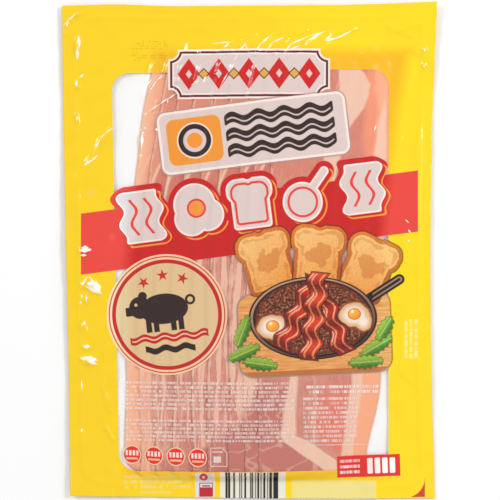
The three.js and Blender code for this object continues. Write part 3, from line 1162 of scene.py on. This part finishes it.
def side_print(art):
    """Faint upright rows of small print by the right edge."""
    m, x, y = art.m, art.x, art.y
    column = m.maths("WRAP", x - 84.0, 1.3, -1.3)
    dash = m.chance(m.maths("FLOOR", y / 0.8), m.maths("FLOOR", (x - 84.0) / 2.6 + 0.5))
    here = high(abs(column) - 0.8, high(abs(x - 84.0) - 3.6, abs(y + 46.0) - 10.2))
    art.lay(ink(255, 240, 150), art.mask(here) * clamp(dash * 1.4) * 0.8)


def date_dots(art):
    """Two rows of faint printer's dots."""
    m, x, y = art.m, art.x, art.y
    u, v = x + 52.0, y - 104.0
    dot = length(m.maths("WRAP", u, 0.55, -0.55), m.maths("WRAP", v, 0.6, -0.6)) - 0.2
    lit = m.chance(m.maths("FLOOR", u / 1.1 + 0.5), m.maths("FLOOR", v / 1.2 + 0.5))
    rows = high(abs(abs(v) - 3.4) - 2.3, abs(u) - 9.0)
    art.lay(ink(110, 92, 30), art.mask(high(dot, rows)) * m.maths("GREATER_THAN", lit, 0.6) * 0.9)


# Each tile of the film, from its left and bottom to its right and top, has a material with only the
# print that reaches it
PRINT_TILES = [
    ("film_print_top", (-120, 42, 120, 140), (flat_field, date_dots, emblem, label, banner_right)),
    ("film_print_left", (-120, -66, -11.3, 42), (flat_field, label, banner_left, badge)),
    ("film_print_right", (-11.3, -66, 120, 42), (flat_field, banner_right, picture, side_print)),
    ("film_print_bottom", (-120, -140, 120, -66), (
        flat_field, lower_rows, four_discs, package_mark, weight_box, bottom_rows, tag, upright_bars,
        blank_field_and_corner,
    )),
]


def new_material(name):
    material = bpy.data.materials.new(name)
    material.use_nodes = True
    material.node_tree.nodes.clear()
    return material, Maker(material.node_tree)


def object_place(m):
    """Object coordinates in millimetres, and the same as three numbers."""
    place = m.node("ShaderNodeTexCoord").outputs["Object"]
    scaled = m.node("ShaderNodeVectorMath", {"operation": "SCALE"}, {0: place, "Scale": 1.0 / MM}).outputs[0]
    split = m.node("ShaderNodeSeparateXYZ", None, {0: scaled})
    return scaled, [Value(m, socket) for socket in split.outputs]


FILM_SHINE = 0.045  # how much light two faces of clear film send back
FILM_CRINKLE_DEPTH = 0.0006  # metres
FAR_FROM_PAINTED_HIGHLIGHTS = 9.0
# The colour painted on the film for its highlights
PAINTED_HIGHLIGHT_COLOUR = ink(255, 252, 238)

# Painted highlights, where sharp folds would shine white: from a point, to a point, and the half-width
# between them
PAINTED_HIGHLIGHTS = [
    # round the top left corner and down the ridge
    (-95.6, 115, -93.8, 120, 0.3), (-94.4, 119, -90, 123.6, 0.3),
    (-88.9, 111.8, -88.4, 105.4, 0.8), (-89.2, 105.8, -89.7, 98.9, 0.85), (-88.3, 90.3, -86.2, 91.6, 0.5),
    (-89.9, 88.6, -90, 85, 0.65), (-89.4, 69.7, -89.2, 68.2, 0.6),
    # from the ridge to the window
    (-86.4, 44.2, -81.8, 47, 0.7), (-82.6, 46.2, -79, 49.6, 0.45), (-80.6, 52, -77, 59.2, 0.3),
    (-78, 57.6, -74.4, 61.8, 0.3), (-75.6, 60.6, -70.8, 64, 0.3),
    # on the first rashers
    (-51.6, 83.6, -48, 89.2, 0.4), (-48.8, 88.2, -44.2, 91.6, 0.4), (-51.7, 84.6, -50.9, 83.8, 0.6),
    (-52.6, 72.4, -46.6, 76.2, 0.35), (-47.6, 75.6, -41.6, 79.4, 0.35), (-42.6, 78.6, -38, 81.6, 0.4),
    (-42.6, 76.2, -42.4, 78.6, 0.3), (-55.7, 61.8, -56.2, 52.2, 0.85), (-48.6, 63.8, -48.1, 62, 0.7),
    (-54.8, 64.4, -53.8, 63.2, 0.5),
    # above the rashers
    (-19, 107.6, -9, 108.4, 0.3), (-13.4, 105.2, -10.4, 107.8, 0.5), (-5.2, 103.8, -1.6, 107.6, 0.3),
    (-2.2, 107.4, -0.6, 102.6, 0.3), (2.8, 102.4, 6.4, 108, 0.35), (5.8, 107, 11, 112, 0.35),
    (8.8, 103.2, 12.4, 108.6, 0.35), (11.4, 107.6, 17.8, 111, 0.35), (18.2, 103, 22, 107.6, 0.4),
    (20.6, 106.8, 31, 111.4, 0.4), (19, 103.4, 27, 106.4, 0.35), (29, 108.2, 38.8, 113.9, 0.5),
    (30, 111, 38.6, 113.7, 0.35), (38.8, 108.6, 43, 112.6, 0.6), (38.8, 108.8, 46.6, 110.8, 0.5),
    (45.4, 110.2, 53.6, 114.4, 0.5), (42, 111.6, 42.4, 113.8, 0.3),
    # on the ticket
    (-14.8, 85.6, -11, 92.4, 0.35), (-24.4, 86.6, -22.4, 90.4, 0.6), (-30.4, 85.8, -25.6, 88.4, 0.35),
    (-8.6, 97.4, -5.8, 101.6, 0.3),
    # the right margin
    (91.2, 105, 90.9, 103.2, 0.4), (90.8, 96.6, 90.8, 95.4, 0.3), (65.9, 65.6, 64.7, 61.8, 0.45),
    (82.7, 11, 83.7, 9.2, 0.5), (82.7, 5.8, 82.9, 4.4, 0.35), (81, 16.2, 83, 14.4, 0.4),
    # the left margin
    (-88.8, 0, -82.2, 0.6, 1.5), (-87.4, 1.5, -83.4, 1.5, 1.1), (-87.8, -2.4, -84.4, -2.4, 0.7),
    (-87.4, -18.6, -84, -13.2, 0.7), (-83.2, -13.6, -76.6, -22.8, 1.4), (-85.4, -18.2, -76.8, -22.6, 1.2),
    (-84.5, -17, -79.8, -18, 1.4),
    (-87.2, -22.6, -87, -24.8, 0.5), (-87.7, -26.2, -87.7, -28, 0.6), (-84.9, -22.8, -84.7, -26.8, 0.35),
    (-86, -36.6, -85.5, -38.8, 0.75), (-86.6, -50, -82.6, -49.9, 1.1), (-87.8, -55.9, -84.2, -56.4, 0.8),
    (-86.4, -55.2, -78.8, -57.2, 1.3), (-84.4, -57, -79.2, -59.2, 1), (-84.6, -38.8, -84.4, -42, 0.25),
    (-87.3, -67.8, -87, -73, 0.3), (-87.2, -92.4, -87.1, -94.4, 0.5),
]


def film_material(name, box, parts):
    material, m = new_material(name)
    place, (x, y, _) = object_place(m)
    art = Artwork(m, x, y)
    for part in parts:
        part(art)
    crinkles = m.noise(place, 0.35, 3.0, 0.6)
    # Painted highlights: the film's colour turns white in thin lozenges where sharp folds would shine
    painted_highlight_distance = FAR_FROM_PAINTED_HIGHLIGHTS
    left, bottom, right, top = box
    for x0, y0, x1, y1, half_width in PAINTED_HIGHLIGHTS:
        if max(x0, x1) > left and min(x0, x1) < right and max(y0, y1) > bottom and min(y0, y1) < top:
            painted_highlight_distance = low(painted_highlight_distance, art.lozenge(x0, y0, x1, y1, half_width))
    painted_highlight = art.mask(painted_highlight_distance + (crinkles - 0.5) * 0.7)
    cover = high(art.cover, painted_highlight)
    paint = m.mix(art.over_meat, art.paint, OVER_MEAT, "MULTIPLY")
    paint = m.mix(painted_highlight, paint, PAINTED_HIGHLIGHT_COLOUR)
    m.surface({
        "Base Color": paint,
        "Metallic": clamp(1.0 - 4.0 * cover),
        "Roughness": 0.15 + 0.03 * cover,
        "Specular IOR Level": 0.55,
        "Alpha": FILM_SHINE + (1.0 - FILM_SHINE) * cover,
    }, (0.12, FILM_CRINKLE_DEPTH, crinkles))
    return material


def clear_film_material():
    material, m = new_material("clear_film")
    place, _ = object_place(m)
    crinkles = m.noise(place, 0.3, 3.0, 0.6)
    m.surface(
        {"Base Color": WHITE, "Metallic": 0.9, "Roughness": 0.14 + 0.1 * crinkles, "Alpha": 0.05},
        (0.15, FILM_CRINKLE_DEPTH, crinkles),
    )
    return material


# The meat

FAT = ink(241, 199, 174)
LEAN = ink(190, 94, 82)
LOW_LEAN = ink(195, 114, 99)
PALE_LEAN = ink(226, 158, 137)
LOW_FAT = ink(240, 192, 166)
END_LEAN = ink(196, 114, 105)
SALMON_PINK = ink(222, 136, 113)
PEACH = ink(247, 192, 158)
SALMON = ink(248, 170, 130)
DEEP_SALMON = ink(240, 145, 110)
WARM_LEAN = ink(228, 122, 98)
GRAIN_DEPTH = 0.0004  # metres


class Meat:
    """A place on the rashers, and how uneven the meat is there."""

    def __init__(self, m):
        self.m = m
        place, (self.x, y, _) = object_place(m)
        k, across = m.attribute("slice"), m.attribute("across")
        self.y, self.k, self.across = y, k, across
        self.fibre = m.noise(m.vector(across * 1.1, y * 0.14, k * 3.0), 1.0, 3.0, 0.6)
        self.fine = m.noise(m.vector(across * 2.8, y * 0.4, k * 2.0), 1.0, 3.0, 0.65) - 0.5
        self.mottle = m.noise(place, 0.1, 3.0, 0.6) - 0.5
        self.drift = (m.noise(m.vector(0.0, y * 0.035, k * 7.0), 1.0, 2.0) - 0.5) * 6.0
        self.streak = m.noise(m.vector((across + self.drift) * 0.46, y * 0.022, k * 3.1), 1.0, 2.0, 0.55)
        self.fat = smooth((self.streak + self.mottle * 0.2 + self.fine * 0.12 - 0.49) / 0.1)
        self.lean = m.mix(clamp(self.fibre + self.mottle + self.fine), LEAN, SALMON_PINK)


def low_streaks(meat):
    """The lower half: narrow streaks of fat in pale lean."""
    m = meat.m
    colour = m.mix(clamp(meat.fibre * 2.0 - 0.5 + meat.mottle + meat.fine * 1.2), LOW_LEAN, PALE_LEAN)
    return m.mix(meat.fat * 0.85, colour, LOW_FAT)


def upper_lobes(meat):
    """The upper half: a lobe of lean inside a curved line of fat."""
    m, across = meat.m, meat.across
    reach = 1.4 + 9.5 * clamp((meat.y - 24.0) / 31.0) ** 2.0 + meat.drift * 0.2
    lobe = m.mix(smooth((across - reach) / 0.8), SALMON_PINK, meat.lean)
    line = clamp(1.4 - abs(across - reach + 0.9) / 0.75)
    return m.mix(line * 0.85, lobe, FAT)


def first_fat(meat):
    """What the first rashers show, which is only their fat."""
    pale = clamp(meat.fibre * 1.4 - 0.3 + 0.5 * clamp(1.0 - meat.across / 5.0))
    return meat.m.mix(pale, SALMON, PEACH)


def veined_lean(meat):
    """The lower ends: lean, with thin veins of fat."""
    m = meat.m
    vein = abs(m.noise(m.vector(meat.x * 0.05, meat.y * 0.06, meat.k * 1.7), 1.0, 2.0) - 0.5)
    colour = m.mix(clamp(meat.fibre + meat.fine * 0.8), END_LEAN, LOW_LEAN)
    return m.mix(clamp(1.0 - vein * 55.0) * 0.4, colour, FAT)


def top_rasher(meat, low_down, lower_end, edge):
    """The top rasher shows its whole width: fat in two bands and a lobe, and salmon at its right."""
    m, x, y, fibre, fine, mottle = meat.m, meat.x, meat.y, meat.fibre, meat.fine, meat.mottle
    a = meat.across + meat.drift * 0.35 + mottle * 3.0
    # How far it is to the fat: the left band with the lobe, and the right band
    bend = high(0.0, -96.0 - y)
    middle = 15.6 + 0.1 * high(0.0, y + 88.0) + 0.02 * high(0.0, y + 67.0) + 1.4 * bend
    band = abs(a - middle) - 2.2 - 0.06 * high(0.0, -70.0 - y) - 0.8 * low(bend, 3.0)
    band = band - 1.8 * smooth((y - 10.0) / 30.0) + 12.0 * smooth((y - 56.0) / 8.0)
    edge_x = x + mottle * 3.0 + fine * 1.2
    lobe_left = 46.2 + 0.0065 * (y - 93.0) * (y - 93.0)
    lobe_right = 62.3 - 0.021 * (y - 86.0) * (y - 86.0) - 0.35 * high(0.0, y - 86.0)
    band = low(band, high(lobe_left - edge_x, edge_x - lobe_right))
    above = high(0.0, y - 50.0)
    right = 51.0 + 0.048 * high(0.0, y + 63.0) - 0.108 * above - 0.125 * high(0.0, -67.0 - y)
    stripe = abs(a - right) - 3.0 + 0.0038 * above * above
    # Its lean, from the lower end to the upper half, then the salmon, then the fat
    colour = m.mix(clamp(fibre + mottle + fine * 1.2), LOW_LEAN, PALE_LEAN)
    colour = m.mix(smooth((a - middle - 9.0) / 9.0) * clamp((-62.0 - y) / 20.0), colour, WARM_LEAN)
    upper = smooth((y - 20.0) / 40.0)
    colour = m.mix(smooth(upper * 1.5), colour, m.mix(fibre, meat.lean, SALMON_PINK))
    end = low_down * (1.0 - smooth((a - middle) / 3.0))
    colour = m.mix(end, colour, lower_end)
    high_up = 3.0 * smooth((y - 72.0) / 14.0)
    salmon = m.mix(smooth((a - right + 5.0 + high_up) / 4.0), DEEP_SALMON, SALMON)
    from_salmon = a - right + 12.0 * upper + high_up
    colour = m.mix(smooth(from_salmon / (2.5 + 2.5 * upper)), colour, salmon)
    colour = m.mix(clamp(0.5 - band / 1.4) * 0.9, colour, FAT)
    colour = m.mix(clamp(0.5 - stripe / 1.4) * 0.85, colour, FAT)
    colour = m.mix(clamp(1.2 - abs(a - 26.0 - meat.streak * 6.0) / 1.2) * 0.35, colour, FAT)
    # The bright line along its left edge: partly fat, partly a painted highlight
    return m.mix(edge * (0.6 - 0.5 * end), colour, FAT)


def bacon_material():
    material, m = new_material("bacon")
    meat = Meat(m)
    y, k, across = meat.y, meat.k, meat.across
    first = smooth((2.0 - 0.6 * smooth(y / 40.0) - k - clamp((across - 3.0) / 9.0)) / 1.6)
    # The lower ends start higher up towards the last rasher
    from_left = high(0.0, meat.x + 52.0)
    start = 109.0 - low(0.0122 * from_left * from_left, 46.0)
    low_down = smooth((meat.mottle * 36.0 - y - start) / 9.0)
    lower_end = veined_lean(meat)
    end = low_down * (1.0 - first * 0.6)
    # A thin bright line along the left edge of each rasher: partly fat, partly a painted highlight
    from_edge = across - cut_wave(k, y)
    edge = clamp(1.3 - abs(from_edge - 0.9) / 0.7) * smooth((meat.fibre + meat.mottle - 0.38) / 0.16)

    colour = m.mix(smooth((y - 6.0) / 18.0), low_streaks(meat), upper_lobes(meat))
    colour = m.mix(first, colour, first_fat(meat))
    colour = m.mix(end, colour, lower_end)
    colour = m.mix(edge * (0.6 - 0.5 * end), colour, FAT)
    top = top_rasher(meat, low_down, lower_end, edge)
    colour = m.mix(m.maths("GREATER_THAN", k, LAST - 0.5), colour, top)
    m.surface(
        {"Base Color": colour, "Roughness": 0.44 - 0.12 * meat.fat, "Specular IOR Level": 0.35},
        (0.35, GRAIN_DEPTH, meat.fibre + meat.fat * 0.4),
    )
    return material


# Floor and lights

FLOOR_HALF = 1500.0
FLOOR_LEVEL = -0.05  # just clear of the flat back film
ROOM_BRIGHTNESS = 0.695
SOFT_LIGHTS = [  # name, way to it, metres to it, metres across, and its share of a white floor's brightness
    ("key", (0.66, 0.25, 0.72), 1.3, 0.3, 0.23),
    ("fill", (-0.62, 0.42, 0.66), 2.4, 0.4, 0.135),
]


def floor():
    material, m = new_material("floor")
    place, _ = object_place(m)
    m.surface({
        "Base Color": m.mix(m.noise(place, 0.01, 2.0), ink(250, 250, 250), ink(254, 254, 254)),
        "Roughness": 0.9,
        "Specular IOR Level": 0.1,
    })
    ways = ((-1, -1), (1, -1), (1, 1), (-1, 1))
    corners = [(x * FLOOR_HALF, y * FLOOR_HALF, FLOOR_LEVEL) for x, y in ways]
    ground = make_mesh("floor", corners, [(0, 1, 2, 3)], [material])


def soft_light(name, towards, distance, size, share):
    """A square light that faces the pack, and gives a white floor there this share of its brightness."""
    towards = np.array(towards) / np.linalg.norm(towards)
    data = bpy.data.lights.new(name, "AREA")
    data.size = size
    data.energy = share * math.pi**2 * distance**2 / towards[2]
    lamp = add_object(name, data)
    lamp.location = towards * distance
    lamp.rotation_euler = (math.acos(towards[2]), 0.0, math.atan2(towards[1], towards[0]) + math.pi / 2)


def studio():
    world = bpy.data.worlds.new("studio")
    world.use_nodes = True
    background = world.node_tree.nodes["Background"]
    background.inputs["Color"].default_value = (1.0, 1.0, 1.0, 1.0)
    background.inputs["Strength"].default_value = ROOM_BRIGHTNESS
    bpy.context.scene.world = world
    for light in SOFT_LIGHTS:
        soft_light(*light)


# Putting it together

tiles = [(box, film_material(name, box, parts)) for name, box, parts in PRINT_TILES]
meat_pieces = rashers(bacon_material())
front = front_film(tiles)
back = back_film(clear_film_material())
for piece, slot in ((front, "pack_film"), (back, "pack_film"), (meat_pieces, "bacon")):
    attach(piece, "root")
    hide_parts("sealed_pack")
floor()
studio()
